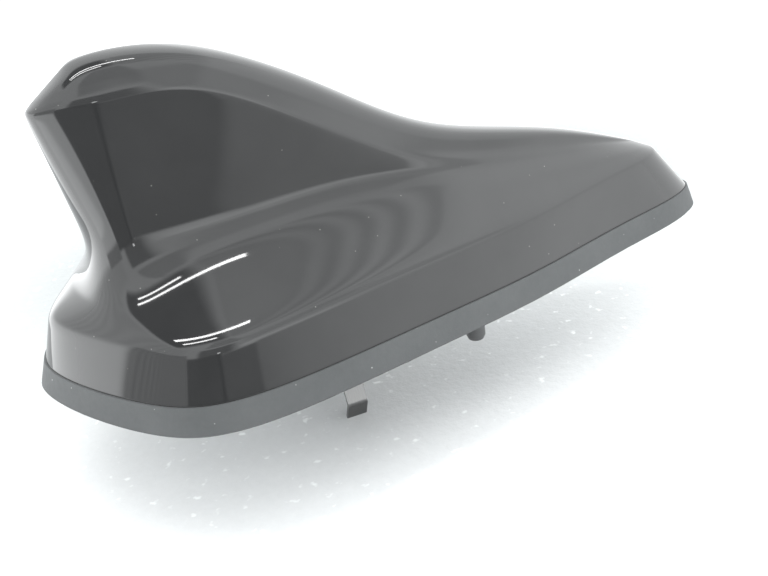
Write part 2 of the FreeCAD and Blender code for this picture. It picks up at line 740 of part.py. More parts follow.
plate_holes.append(rod("bolt_hole", "bolt_radius", "bolt_length + 1", "0", "0",
                       "-boss_depth - clip_sheet - washer_height"))
plate_holes.append(box("block_hole", "block_length + 2 * block_gap", "2 * block_half + 2 * block_gap",
                       "plate_thickness + 6", "port_x - block_length / 2 - block_gap",
                       "-block_half - block_gap", PLATE_Z + " - 3"))
plate_holes.append(rod("peg_hole", "peg_spigot", "plate_thickness + 2", "peg_x", "0", PLATE_Z + " - 1"))
plate_whole = fuse("plate_whole", [plate_body, plate_rib, cross_ribs, fixing_boss] + posts)
plate_hole_set = fuse("plate_hole_set", plate_holes)
base_plate = cut("base_plate", plate_whole, plate_hole_set)

# roof seal, a flat ring round the boss and the connector

roof_seal = new_body("roof_seal")
seal_outside = sketch_on(roof_seal, "XY_Plane", "0")
rounded(seal_outside, "-seal_rear", "seal_front", "-seal_half", "seal_half", "seal_corner")
pad(roof_seal, seal_outside, "gasket_ledge")
seal_inside = sketch_on(roof_seal, "XY_Plane", "gasket_ledge")
rounded(seal_inside, "-seal_rear + seal_width", "seal_front - seal_width", "-seal_half + seal_width",
        "seal_half - seal_width", "seal_corner - seal_width / 2")
pocket(roof_seal, seal_inside, "gasket_ledge")

# screws


def pan_screw(name, radius, length, head, height):
    """Pan head screw: the underside of its head lies at its own z = 0, its shank points up."""
    body = turned(name, (("0", "-" + height), (head + " * 0.7", "-" + height),
                         (head, "-" + height + " * 0.4"),
                         (head, "0"), (radius, "0"), (radius, length + " - 0.6"),
                         (radius + " * 0.6", length), ("0", length)))
    recess = sketch_on(body, "XY_Plane", "-" + height)
    polygon(recess, rectangle("-screw_recess", "screw_recess", "-screw_recess * 0.25", "screw_recess * 0.25"))
    first = pocket(body, recess, "screw_recess_depth")
    first.Reversed = True
    recess = sketch_on(body, "XY_Plane", "-" + height)
    polygon(recess, rectangle("-screw_recess * 0.25", "screw_recess * 0.25", "-screw_recess", "screw_recess"))
    second = pocket(body, recess, "screw_recess_depth")
    second.Reversed = True
    return body


cover_screw = pan_screw("cover_screw", "cover_screw_radius", "plate_thickness + cover_screw_grip",
                        "cover_screw_head", "cover_screw_head_height")
board_screw = pan_screw("board_screw", "board_screw_radius", "board_thickness + board_screw_grip",
                        "board_screw_head", "board_screw_head_height")

# circuit board and shield can

circuit_board = flat("circuit_board", "XY_Plane", BOARD_Z,
                     (("-board_rear", "-board_rear_half"), ("-board_waist", "-board_rear_half"),
                      ("board_front", "-board_front_half"), ("board_front", "board_front_half"),
                      ("-board_waist", "board_rear_half"), ("-board_rear", "board_rear_half")),
                     "board_thickness")
board_sketch = sketch_on(circuit_board, "XY_Plane", BOARD_TOP)
for x, y in post_spots:
    circle(board_sketch, x, y, "board_screw_radius")
circle(board_sketch, "patch_x - feed_offset", "0", "feed_radius")
pocket(circuit_board, board_sketch, "board_thickness + 1")

can_block = box("can_block", "can_length", "can_width", "can_height", "can_rear", "-can_width / 2",
                BOARD_Z + " - can_height")
can_space = box("can_space", "can_length - 2 * can_sheet", "can_width - 2 * can_sheet", "can_height",
                "can_rear + can_sheet", "-can_width / 2 + can_sheet", BOARD_Z + " - can_height + can_sheet")
shield_can = cut("shield_can", can_block, can_space)

# satellite patch

FEED_X = "patch_x - feed_offset"
TAPE_TOP = BOARD_TOP + " + tape_height"
PATCH_TOP = TAPE_TOP + " + patch_height"


def square_plate(name, side, height, z):
    plate = box(name + "_plate", side, side, height, "patch_x - " + side + " / 2", "-" + side + " / 2", z)
    hole = rod(name + "_hole", "feed_radius", height + " + 2", FEED_X, "0", z + " - 1")
    return cut(name, plate, hole)


patch_tape = square_plate("patch_tape", "patch_side", "tape_height", BOARD_TOP)
gnss_ceramic = square_plate("gnss_ceramic", "patch_side", "patch_height", TAPE_TOP)
gnss_electrode = square_plate("gnss_electrode", "electrode_side", "electrode_height", PATCH_TOP)
FEED_LENGTH = "board_thickness + tape_height + patch_height + electrode_height"
gnss_feed_pin = turned("gnss_feed_pin", (("0", "0"), ("feed_radius", "0"), ("feed_radius", FEED_LENGTH),
                                         ("feed_head", FEED_LENGTH),
                                         ("feed_head", FEED_LENGTH + " + feed_head_height"),
                                         ("0", FEED_LENGTH + " + feed_head_height")))
place(gnss_feed_pin, FEED_X, "0", BOARD_Z)

# fin board, its holder, the top load and the two sheet radiators

fin_board = flat("fin_board", "XZ_Plane", "-fin_thickness / 2",
                 (("-fin_foot_rear", BOARD_TOP), ("fin_foot_front", BOARD_TOP), ("-fin_brow", "fin_brow_z"),
                  ("-fin_top_front", FIN_TOP), ("-fin_top_rear", FIN_TOP),
                  ("-fin_tail", "fin_tail_z"), ("-fin_heel", "fin_heel_z")), "fin_thickness")
HOLDER_TOP = BOARD_TOP + " + holder_height"
HOLDER_STEP = BOARD_TOP + " + holder_foot"
SLOT = "fin_thickness / 2"
cheek = SLOT + " + holder_cheek"


def holder_half(name, sign):
    return flat(name, "YZ_Plane", "-holder_rear",
                ((sign + SLOT, BOARD_TOP), (sign + "holder_half", BOARD_TOP),
                 (sign + "holder_half", HOLDER_STEP), (sign + "(" + cheek + ")", HOLDER_STEP),
                 (sign + "(" + cheek + ")", HOLDER_TOP), (sign + SLOT, HOLDER_TOP)), "holder_length")


fin_clamps = fuse("fin_clamps", [holder_half("clamp_left", ""), holder_half("clamp_right", "-")])
CAP_TOP = FIN_TOP + " + cap_sheet"
CAP_LOW = CAP_TOP + " - cap_drop"
CAP_INSIDE = "cap_half - cap_sheet"
top_load_cap = flat("top_load_cap", "YZ_Plane", "-cap_rear",
                    (("-cap_half", CAP_LOW), ("-cap_half", CAP_TOP), ("cap_half", CAP_TOP),
                     ("cap_half", CAP_LOW), (CAP_INSIDE, CAP_LOW), (CAP_INSIDE, FIN_TOP),
                     ("-cap_half + cap_sheet", FIN_TOP), ("-cap_half + cap_sheet", CAP_LOW)), "cap_length")


def radiator(name, x, corners):
    body = flat(name, "YZ_Plane", x, corners, "radiator_sheet")
    foot = sketch_on(body, "XY_Plane", BOARD_TOP)
    polygon(foot, rectangle(x, x + " + radiator_foot", "-radiator_foot_half", "radiator_foot_half"))
    pad(body, foot, "radiator_sheet")
    return body


phone_radiator = radiator("phone_radiator", "phone_x",
                          (("-phone_half", BOARD_TOP), ("phone_half", BOARD_TOP),
                           ("phone_half", "phone_waist_z"),
                           ("phone_top_half", "phone_top_z"), ("-phone_top_half", "phone_top_z"),
                           ("-phone_half", "phone_waist_z")))
second_radiator = radiator("second_radiator", "-second_x",
                           rectangle("-second_half", "second_half", BOARD_TOP, "second_top_z"))

# connector block with two coax ports

BLOCK_REAR = "port_x - block_length / 2"
block = box("block", "block_length", "2 * block_half", "block_depth + " + PLATE_TOP, BLOCK_REAR,
            "-block_half", "-block_depth")
collar = box("block_collar", "block_length + 2 * block_flange", "2 * block_half + 2 * block_flange",
             "block_flange_height", BLOCK_REAR + " - block_flange", "-block_half - block_flange", PLATE_TOP)
port_sides = ("port_half", "-port_half")
ports = [block, collar]
bores = []
for number, y in enumerate(port_sides):
    ports.append(rod("port_%d" % number, "port_radius", "port_depth - block_depth + 1", "port_x", y,
                     "-port_depth"))
    bores.append(rod("bore_%d" % number, "port_bore", "port_bore_depth", "port_x", y, "-port_depth"))
    bores.append(rod("sleeve_way_%d" % number, "sleeve_radius", "port_depth + " + PLATE_TOP + " + 4",
                     "port_x", y, "-port_depth"))
connector_whole = fuse("connector_whole", ports)
connector_bores = fuse("connector_bores", bores)
connector_block = cut("connector_block", connector_whole, connector_bores)
LINE_LENGTH = "port_depth - pin_setback + " + BOARD_Z
sleeve = turned("sleeve", rectangle("sleeve_radius - sleeve_wall", "sleeve_radius", "0", LINE_LENGTH))
line_pin = turned("line_pin", (("0", "0"), ("pin_radius * 0.6", "0"), ("pin_radius", "pin_radius"),
                               ("pin_radius", LINE_LENGTH), ("0", LINE_LENGTH)))

# locating peg

PEG_COLLAR_Z = PLATE_Z + " - peg_collar_height"
locating_peg = turned("locating_peg", (("0", "-peg_depth"), ("peg_radius - peg_round", "-peg_depth"),
                                       ("peg_radius - peg_round * 0.3", "-peg_depth + peg_round * 0.3"),
                                       ("peg_radius", "-peg_depth + peg_round"), ("peg_radius", PEG_COLLAR_Z),
                                       ("peg_collar", PEG_COLLAR_Z), ("peg_collar", PLATE_Z),
                                       ("peg_spigot", PLATE_Z), ("peg_spigot", PLATE_TOP),
                                       ("peg_head", PLATE_TOP),
                                       ("peg_head", PLATE_TOP + " + peg_head_height"),
                                       ("0", PLATE_TOP + " + peg_head_height")))
place(locating_peg, "peg_x")

# bolt and washer

BOLT_Z = "-boss_depth - clip_sheet - washer_height"
fixing_bolt = turned("fixing_bolt", (("0", "-bolt_flange_height"), ("bolt_flange", "-bolt_flange_height"),
                                     ("bolt_flange", "-bolt_flange_height * 0.4"),
                                     ("bolt_flange * 0.9", "0"), ("bolt_radius", "0"),
                                     ("bolt_radius", "bolt_length - 1"), ("bolt_radius * 0.7", "bolt_length"),
                                     ("0", "bolt_length")))
HEX = "bolt_head_flats / 2"
TIP = "bolt_head_flats / 2 * 1.1547"
HALF_TIP = TIP + " / 2"
head_sketch = sketch_on(fixing_bolt, "XY_Plane", "-bolt_flange_height")
polygon(head_sketch, ((TIP, "0"), (HALF_TIP, HEX), ("-" + HALF_TIP, HEX), ("-" + TIP, "0"),
                      ("-" + HALF_TIP, "-" + HEX), (HALF_TIP, "-" + HEX)))
head_pad = pad(fixing_bolt, head_sketch, "bolt_head_height")
head_pad.Reversed = True
place(fixing_bolt, "0", "0", BOLT_Z)
lock_washer = turned("lock_washer", rectangle("bolt_radius + bolt_play", "washer_radius", "0",
                                              "washer_height"))
place(lock_washer, "0", "0", BOLT_Z)
doc.recompute()

# spring clip: a plate under the boss with two kneed legs of the same sheet


def bent_line(points, bend):
    """Straight runs joined by arcs of one bend radius."""
    pieces = []
    start = points[0]
    for before, bend_point, after in zip(points, points[1:], points[2:]):
        back = (before - bend_point).normalize()
        ahead = (after - bend_point).normalize()
        half = back.getAngle(ahead) / 2
        entry = bend_point + back * (bend / math.tan(half))
        leave = bend_point + ahead * (bend / math.tan(half))
        centre = bend_point + (back + ahead).normalize() * (bend / math.sin(half))
        peak = centre + (bend_point - centre).normalize() * bend
        pieces.append(Part.makeLine(start, entry))
        pieces.append(Part.Arc(entry, peak, leave).toShape())
        start = leave
    pieces.append(Part.makeLine(start, points[-1]))
    return Part.Wire(pieces)


clip_mid = -size("boss_depth") - size("clip_sheet") / 2
clip_length = size("clip_length")
half_line = ((size("clip_half"), clip_mid), (size("clip_knee_half"), -size("clip_knee_z")),
             (size("clip_end_half"), -size("clip_end_z")))
clip_points = [FreeCAD.Vector(0, -y, z) for y, z in reversed(half_line)]
clip_points += [FreeCAD.Vector(0, y, z) for y, z in half_line]
clip_edge = bent_line(clip_points, size("clip_bend")).makeOffset2D(size("clip_sheet") / 2)
clip_strip = Part.Face(clip_edge).extrude(FreeCAD.Vector(clip_length, 0, 0))
clip_strip.translate(FreeCAD.Vector(-clip_length / 2, 0, 0))
clip_sheet = solid("clip_strip", clip_strip)
clip_plate = box("clip_plate", "clip_length", "2 * clip_half - 2 * clip_bend", "clip_end_z",
                 "-clip_length / 2", "-clip_half + clip_bend", "-clip_end_z")
clip_legs = box("clip_legs", "clip_leg", "4 * clip_knee_half", "2 * clip_end_z", "-clip_leg / 2",
                "-2 * clip_knee_half", "-2 * clip_end_z")
clip_extent = fuse("clip_extent", [clip_plate, clip_legs])
clip_blank = common("clip_blank", [clip_sheet, clip_extent])
clip_hole = rod("clip_hole", "bolt_radius + bolt_play", "boss_depth", "0", "0", "-1.5 * boss_depth")
spring_clip = cut("spring_clip", clip_blank, clip_hole)
doc.recompute()

# groups of equal pieces

cover_screws = group("cover_screws", cover_screw, [spot(x, y, PLATE_Z) for x, y in screw_spots])
flipped = board_screw.Shape.copy()
flipped.rotate(FreeCAD.Vector(0, 0, 0), FreeCAD.Vector(1, 0, 0), 180)
board_screws = solid("board_screws", Part.Compound(
    [flipped.translated(spot(x, y, BOARD_TOP)) for x, y in post_spots]))
LINE_Z = "-port_depth + pin_setback"
coax_sleeves = group("coax_sleeves", sleeve, [spot("port_x", y, LINE_Z) for y in port_sides])
coax_pins = group("coax_pins", line_pin, [spot("port_x", y, LINE_Z) for y in port_sides])
doc.recompute()

NODES = (cover, gasket, base_plate, roof_seal, cover_screws, circuit_board, board_screws, shield_can,
         patch_tape, gnss_ceramic, gnss_electrode, gnss_feed_pin, fin_board, fin_clamps, top_load_cap,
         phone_radiator, second_radiator, connector_block, coax_sleeves, coax_pins, locating_peg,
         spring_clip, lock_washer, fixing_bolt)

for thing in doc.Objects:
    if "Invalid" in thing.State or "Error" in thing.State:
        raise RuntimeError("%s is %s" % (thing.Name, thing.State))
os.makedirs("parts", exist_ok=True)
for node in NODES:
    if node.Shape.isNull() or not node.Shape.isValid():
        raise RuntimeError(node.Name + " has no valid shape")
    node.Label = node.Name
    node.Shape.exportStep("parts/%s.step" % node.Name)
    print(node.Name, len(node.Shape.Solids), round(node.Shape.Volume, 1))
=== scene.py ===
import math
from collections import namedtuple

import bmesh
import bpy
import numpy as np
from mathutils import Matrix, Vector


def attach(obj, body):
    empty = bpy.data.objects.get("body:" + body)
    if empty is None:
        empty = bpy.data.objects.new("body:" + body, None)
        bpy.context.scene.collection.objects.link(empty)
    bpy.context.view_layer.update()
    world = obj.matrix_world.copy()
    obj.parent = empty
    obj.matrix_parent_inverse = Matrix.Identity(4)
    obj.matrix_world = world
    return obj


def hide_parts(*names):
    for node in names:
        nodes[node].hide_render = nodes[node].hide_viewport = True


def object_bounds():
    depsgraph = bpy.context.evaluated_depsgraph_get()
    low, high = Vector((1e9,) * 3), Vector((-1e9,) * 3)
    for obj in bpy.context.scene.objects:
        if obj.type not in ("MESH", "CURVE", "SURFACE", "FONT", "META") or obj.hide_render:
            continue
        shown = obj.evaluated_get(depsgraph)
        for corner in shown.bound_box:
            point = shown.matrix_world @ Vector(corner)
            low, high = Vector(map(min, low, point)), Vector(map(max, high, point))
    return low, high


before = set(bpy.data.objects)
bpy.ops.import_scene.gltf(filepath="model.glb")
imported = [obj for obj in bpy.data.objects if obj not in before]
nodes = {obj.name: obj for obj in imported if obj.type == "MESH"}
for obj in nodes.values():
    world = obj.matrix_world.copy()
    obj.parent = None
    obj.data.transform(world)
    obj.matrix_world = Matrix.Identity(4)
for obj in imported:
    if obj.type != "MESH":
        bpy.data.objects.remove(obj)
cad_low, cad_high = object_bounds()
scene = bpy.context.scene


# Node helpers

def start(name):
    """A new material with its node tree and its shader."""
    material = bpy.data.materials.new(name)
    material.use_nodes = True
    tree = material.node_tree
    return material, tree, tree.nodes["Principled BSDF"]


def add(tree, kind, **values):
    """A node whose inputs take the given values; names with underscores stand for spaces."""
    node = tree.nodes.new(kind)
    for key, value in values.items():
        name = key.replace("_", " ")
        if name in node.inputs:
            node.inputs[name].default_value = value
        else:
            setattr(node, key, value)
    return node


def noise(tree, scale, detail=3.0, rough=0.5, stretch=(1, 1, 1)):
    """Grey noise over the object, from 0 to 1."""
    place = add(tree, "ShaderNodeTexCoord")
    spread = add(tree, "ShaderNodeMapping", Scale=stretch)
    tree.links.new(place.outputs["Object"], spread.inputs["Vector"])
    texture = add(tree, "ShaderNodeTexNoise", Scale=scale, Detail=detail, Roughness=rough)
    tree.links.new(spread.outputs["Vector"], texture.inputs["Vector"])
    return texture.outputs["Fac"]


def span(tree, source, low, high, start_at=0.0, end_at=1.0):
    """Maps a grey value to a range."""
    node = add(tree, "ShaderNodeMapRange", From_Min=start_at, From_Max=end_at, To_Min=low, To_Max=high)
    tree.links.new(source, node.inputs["Value"])
    return node.outputs["Result"]


def blend_colours(tree, factor, first, second):
    """A colour from the first to the second; each is a tuple or a socket."""
    node = add(tree, "ShaderNodeMix", data_type="RGBA")
    sockets = [s for s in node.inputs if s.type == "RGBA"]
    for socket, value in zip(sockets, (first, second)):
        if isinstance(value, tuple):
            socket.default_value = (*value, 1)
        else:
            tree.links.new(value, socket)
    tree.links.new(factor, node.inputs[0])
    return next(s for s in node.outputs if s.type == "RGBA")


def bump(tree, shader, height, strength, distance):
    node = add(tree, "ShaderNodeBump", Strength=strength, Distance=distance)
    tree.links.new(height, node.inputs["Height"])
    tree.links.new(node.outputs["Normal"], shader.inputs["Normal"])


def specks(tree, scale, size):
    """Small scattered dots: 1 on a dot, 0 between."""
    place = add(tree, "ShaderNodeTexCoord")
    cells = add(tree, "ShaderNodeTexVoronoi", Scale=scale)
    tree.links.new(place.outputs["Object"], cells.inputs["Vector"])
    return span(tree, cells.outputs["Distance"], low=1.0, high=0.0, start_at=size * 0.5, end_at=size)


# Materials

# the darker and the lighter tone of each finish
TONES = {
    "gloss_black": ((0.022, 0.0223, 0.023), (0.027, 0.0274, 0.028)),
    "gasket_rubber": ((0.068, 0.072, 0.074), (0.088, 0.092, 0.094)),
    "seal_foam": ((0.03, 0.03, 0.031), (0.05, 0.05, 0.05)),
    "cast_alloy": ((0.50, 0.51, 0.52), (0.62, 0.63, 0.64)),
    "zinc": ((0.50, 0.51, 0.53), (0.64, 0.64, 0.65)),
    "spring_steel": ((0.14, 0.14, 0.14), (0.22, 0.22, 0.217)),
    "tinned": ((0.66, 0.66, 0.66), (0.75, 0.75, 0.75)),
    "brass_sheet": ((0.62, 0.46, 0.20), (0.76, 0.60, 0.30)),
    "moulded_grey": ((0.105, 0.107, 0.108), (0.135, 0.137, 0.139)),
    "tape": ((0.70, 0.70, 0.66), (0.80, 0.80, 0.77)),
    "fired_ceramic": ((0.62, 0.56, 0.46), (0.74, 0.68, 0.57)),
    # painted shade: the darker foam tones paint the shade round the object; the far tones are the plain foam
    "foam_shaded": ((0.31, 0.323, 0.326), (0.37, 0.385, 0.389)),
    "foam_far": ((0.64, 0.65, 0.655), (0.72, 0.73, 0.735)),
}
DUST = (0.16, 0.16, 0.15)
LINT = (0.42, 0.43, 0.42)
# painted shade: near-black colour for the shadow line in the joint between cover and gasket
JOINT_SHADE = (0.010, 0.010, 0.010)
# painted glints: the bright flecks in the foam's colour stand in for the sparkle of its beads
GLINT_FLECK = (0.88, 0.90, 0.90)
SOLDER_MASK = {
    "Color1": (0.02, 0.13, 0.05, 1), "Color2": (0.025, 0.15, 0.06, 1), "Mortar": (0.06, 0.26, 0.10, 1),
}
# metres: the painted shade in the joint fades out between these heights, just above the cover's lower edge
JOINT_SHADE_FULL, JOINT_SHADE_END = 0.0061, 0.0063
PLASTIC_INDEX = 1.5


def gloss_black():
    """Polished plastic with dust, faint smears, and painted shade: a dark, rougher line in the joint along
    its lower edge stands in for the joint's shadow.
    """
    material, tree, shader = start("gloss_black")
    haze = span(tree, noise(tree, scale=60.0, detail=4.0), low=0.0, high=1.0, start_at=0.35, end_at=0.7)
    tone = blend_colours(tree, haze, *TONES["gloss_black"])
    tone = blend_colours(tree, specks(tree, scale=260.0, size=0.045), tone, DUST)
    place = add(tree, "ShaderNodeTexCoord")
    axes = add(tree, "ShaderNodeSeparateXYZ")
    tree.links.new(place.outputs["Object"], axes.inputs[0])
    # painted shade: the colour turns near-black just above the lower edge, where the joint's shadow falls
    joint_shade = span(tree, axes.outputs["Z"], low=1.0, high=0.0, start_at=JOINT_SHADE_FULL, end_at=JOINT_SHADE_END)
    tree.links.new(blend_colours(tree, joint_shade, tone, JOINT_SHADE), shader.inputs["Base Color"])
    smear = noise(tree, scale=35.0, detail=5.0, rough=0.6, stretch=(1, 2.5, 1))
    dull = add(tree, "ShaderNodeMath", operation="MAXIMUM")
    tree.links.new(span(tree, smear, low=0.02, high=0.06, start_at=0.3, end_at=0.75), dull.inputs[0])
    tree.links.new(span(tree, joint_shade, low=0.0, high=0.9), dull.inputs[1])
    tree.links.new(dull.outputs["Value"], shader.inputs["Roughness"])
    shader.inputs["IOR"].default_value = PLASTIC_INDEX
    return material


def rubber(name, fine):
    """Dull, cloudy rubber or foam with lint on it."""
    material, tree, shader = start(name)
    cloud = noise(tree, scale=45.0, detail=5.0, rough=0.6)
    cloud = span(tree, cloud, low=0.0, high=1.0, start_at=0.3, end_at=0.7)
    tone = blend_colours(tree, cloud, *TONES[name])
    tone = blend_colours(tree, specks(tree, scale=330.0, size=0.06), tone, LINT)
    tree.links.new(tone, shader.inputs["Base Color"])
    grain = noise(tree, fine, detail=4.0, rough=0.7)
    tree.links.new(span(tree, grain, low=0.6, high=0.9), shader.inputs["Roughness"])
    bump(tree, shader, grain, strength=0.35, distance=0.0002)
    return material


def plastic(name, rough):
    material, tree, shader = start(name)
    cloud = noise(tree, scale=120.0)
    tree.links.new(blend_colours(tree, cloud, *TONES[name]), shader.inputs["Base Color"])
    grain = noise(tree, scale=1500.0, rough=0.6)
    tree.links.new(span(tree, grain, low=rough - 0.08, high=rough + 0.08), shader.inputs["Roughness"])
    bump(tree, shader, grain, strength=0.2, distance=0.0001)
    return material


def metal(name, rough, stretch=(1, 1, 1), fine=900.0):
    """Metal with a grain, which a stretch turns into brush marks."""
    material, tree, shader = start(name)
    shader.inputs["Metallic"].default_value = 1.0
    brush = noise(tree, fine, detail=4.0, rough=0.65, stretch=stretch)
    tree.links.new(blend_colours(tree, brush, *TONES[name]), shader.inputs["Base Color"])
    tree.links.new(span(tree, brush, low=rough - 0.08, high=rough + 0.1), shader.inputs["Roughness"])
    bump(tree, shader, brush, strength=0.12, distance=0.0001)
    return material


def board():
    """Solder mask over copper tracks that show as a lighter green."""
    material, tree, shader = start("board")
    place = add(tree, "ShaderNodeTexCoord")
    tracks = add(tree, "ShaderNodeTexBrick", Scale=170.0, Mortar_Size=0.06, **SOLDER_MASK)
    tree.links.new(place.outputs["Object"], tracks.inputs["Vector"])
    tree.links.new(tracks.outputs["Color"], shader.inputs["Base Color"])
    shader.inputs["Roughness"].default_value = 0.3
    return material


def paint(material, *names):
    for name in names:
        data = nodes[name].data
        data.materials.clear()
        data.materials.append(material)


paint(gloss_black(), "cover")
paint(rubber("gasket_rubber", fine=900.0), "gasket")
paint(rubber("seal_foam", fine=2200.0), "roof_seal")
paint(metal("cast_alloy", rough=0.5), "base_plate")
paint(metal("zinc", rough=0.32), "cover_screws", "board_screws", "fixing_bolt", "lock_washer")
paint(metal("spring_steel", rough=0.3, stretch=(8, 1, 1), fine=500.0), "spring_clip")
paint(metal("tinned", rough=0.3), "shield_can", "gnss_electrode")
paint(metal("brass_sheet", rough=0.3, stretch=(1, 6, 1), fine=500.0), "top_load_cap", "phone_radiator",
      "second_radiator", "gnss_feed_pin", "coax_sleeves", "coax_pins")
paint(plastic("moulded_grey", rough=0.5), "connector_block", "locating_peg", "fin_clamps")
paint(plastic("tape", rough=0.7), "patch_tape")
paint(plastic("fired_ceramic", rough=0.5), "gnss_ceramic")
paint(board(), "circuit_board", "fin_board")

for node in nodes.values():
    for face in node.data.polygons:
        face.use_smooth = True


# The cover is gloss black, so its skin is laid again as a fine grid on the poles of the part's source

# sizes in millimetres, places from the cover's rear edge
COVER = {
    "length": 162.0, "rear_reach": 63.0, "wall": 2.5, "base_z": 6.0,
    "rear_flank_half": 7.5, "rear_corner_x": 15.0, "rear_corner_half": 31.0,
    "nose_corner_half": 6.5, "nose_rake": 9.8, "skirt_draft": 3.0, "bevel_z": 18.0, "rear_bevel_z": 16.2,
    "bevel_size": 1.6, "rear_bevel_size": 2.2, "panel_round": 6.0, "rear_panel_round": 6.5,
    "crease_size": 1.8, "crease_crown": 2.0, "crease_lead": 4.0,
}
DECK, DECK_SWEEP = Vector((11.0, 18.0, 21.2)), Vector((3.0, 0, 0))
WAIST, WAIST_SWEEP = Vector((14.5, 11.8, 27.8)), Vector((4.0, 0, 0))
TAIL, TAIL_SWEEP = Vector((8.6, 7.4, 58.6)), Vector((6.5, 0, 2.2))
CROWN = Vector((10.4, 0, 60.2))
NOSE_TOP = Vector((146.5, 0, 20.6))
# place and half width at the base, then half width and height at shoulder, foot and crease,
# then place and height of the ridge
Section = namedtuple("Section", "x half shoulder shoulder_z foot foot_z crease crease_z ridge ridge_z")
SECTIONS = {
    "aft": Section(27.5, 39.0, 17.0, 25.2, 11.8, 29.6, 8.5, 60.5, 20.3, 67.8),
    "mid": Section(48.0, 37.0, 15.0, 27.4, 10.8, 30.8, 9.7, 61.3, 42.7, 67.6),
    "slope": Section(78.0, 30.0, 13.5, 28.6, 9.2, 32.5, 8.8, 41.0, 70.0, 51.6),
    "hood": Section(107.0, 23.8, 13.2, 25.2, 10.2, 28.0, 7.6, 31.0, 92.0, 35.4),
    "fore": Section(135.0, 12.6, 8.0, 21.5, 6.4, 23.8, 4.8, 26.6, 126.0, 30.0),
}
# the shares below have no unit
# at the three rear columns: the deck's half width, the sweep, and the half width of waist and tail
REAR_SHARES = ((0, 0, 0), (0.5, 0, 0.4), (1, 1, 1))
# at the same columns: how much of the skirt's draft goes sideways
REAR_LEAN = (0, 0.5, 1)
# how far the rear face's top runs from the crown to the first pole of the ridge
RIDGE_RUN = 0.7
# how far the bevel has come down to the rear's height at the aft section
AFT_BEVEL_DROP = 0.6
# how much of the rear face's lean the sections keep
LEAN_BACK = {"aft": 0.85, "mid": 0.25}
# how far the shoulder is drawn to the ridge's place, and the foot to the base's place
DRAWN_ALONG = {"slope": (0.4, 0.2), "hood": (0.4, 0.3), "fore": (0.4, 0.3)}
# each row's height on the nose and its half width there
NOSE_ROWS = {"bevel": (0, 0.77), "shoulder": (0.5, 0.62), "foot": (0.77, 0.46), "crease": (0.96, 0.23),
             "ridge": (1, 0)}
# how much of the wall each row of the lining moves in and down
INSET = {"base": (1, 0), "bevel": (1, 0.5), "shoulder": (0.5, 0.95), "foot": (0.9, 0.5),
         "crease": (1, 0.8), "ridge": (0, 1)}
# the same for the ridge over the rear face, forward and down, and for the nose, back and sideways
REAR_RIDGE_INSET = (1, 0.5)
NOSE_INSET = 1.3
NOSE_SIDE_INSET = 0.5
# the columns that end the rear face, the side and the nose
REAR_END, SIDE_END, NOSE_END = 2, 7, 9
# by column: how far the pole beside the ridge falls to the crease, and its share of the crease's half width
HIPS = {1: (0.2, 0.6), 2: (0.3, 0.6), 3: (0.1, 0.5)}
PLAIN_HIP = (0, 0.55)
# how far up the fin its lower pole sits, from foot to crease
LOW_FIN = 0.3
LONGEST_STEP = 0.45
NO_GAP = 1e-6
LAST_SAMPLE = 1 - 1e-9
MM = 0.001


def toward(a, b, distance):
    """A point at a distance from a on the way to b, at most the longest step's share of the way."""
    gap = b - a
    return a + gap * min(distance / max(gap.length, NO_GAP), LONGEST_STEP)


def add_rear(rows):
    """The three columns of the rear face, from the middle to its corner."""
    draft = COVER["skirt_draft"]
    halves = (0, COVER["rear_flank_half"], COVER["rear_corner_half"])
    for x, half, lean in zip((0, 0, COVER["rear_corner_x"]), halves, REAR_LEAN):
        rows["base"].append(Vector((x, half, COVER["base_z"])))
        rows["bevel"].append(Vector((x + draft, half - draft * lean, COVER["rear_bevel_z"])))
    first_ridge = Vector((SECTIONS["aft"].ridge, 0, SECTIONS["aft"].ridge_z))
    for share, sweep, width in REAR_SHARES:
        rows["shoulder"].append(Vector((DECK.x, DECK.y * share, DECK.z)) + DECK_SWEEP * sweep)
        rows["foot"].append(Vector((WAIST.x, WAIST.y * width, WAIST.z)) + WAIST_SWEEP * sweep)
        rows["crease"].append(Vector((TAIL.x, TAIL.y * width, TAIL.z)) + TAIL_SWEEP * sweep)
        rows["ridge"].append(CROWN.lerp(first_ridge, RIDGE_RUN * share))


def add_side(rows, name, section):
    """One column of the side."""
    height = COVER["bevel_z"]
    lead = LEAN_BACK.get(name, 0) * (TAIL.x - CROWN.x)
    if name == "aft":
        height += AFT_BEVEL_DROP * (COVER["rear_bevel_z"] - height)
        lead = COVER["crease_lead"]
    to_ridge, to_base = DRAWN_ALONG.get(name, (0, 0))
    gap = section.ridge - section.x
    foot_x = section.ridge - gap * to_base + LEAN_BACK.get(name, 0) * (WAIST.x - CROWN.x)
    rows["base"].append(Vector((section.x, section.half, COVER["base_z"])))
    rows["bevel"].append(Vector((section.x, section.half - COVER["skirt_draft"], height)))
    rows["shoulder"].append(Vector((section.x + gap * to_ridge, section.shoulder, section.shoulder_z)))
    rows["foot"].append(Vector((foot_x, section.foot, section.foot_z)))
    rows["crease"].append(Vector((section.ridge + lead, section.crease, section.crease_z)))
    rows["ridge"].append(Vector((section.ridge, 0, section.ridge_z)))


def add_nose(rows):
    """The two columns of the raked nose, at its corner and in the middle."""
    half = COVER["nose_corner_half"]
    rows["base"] += [Vector((COVER["length"], y, COVER["base_z"])) for y in (half, 0)]
    low = Vector((COVER["length"] - COVER["nose_rake"], 0, COVER["bevel_z"]))
    for name, (climb, spread) in NOSE_ROWS.items():
        middle = low.lerp(NOSE_TOP, climb)
        rows[name] += [middle + Vector((0, half * spread, 0)), middle]


def key_rows():
    """Poles of the six rows that shape the cover."""
    rows = {name: [] for name in INSET}
    add_rear(rows)
    for name, section in SECTIONS.items():
        add_side(rows, name, section)
    add_nose(rows)
    return rows


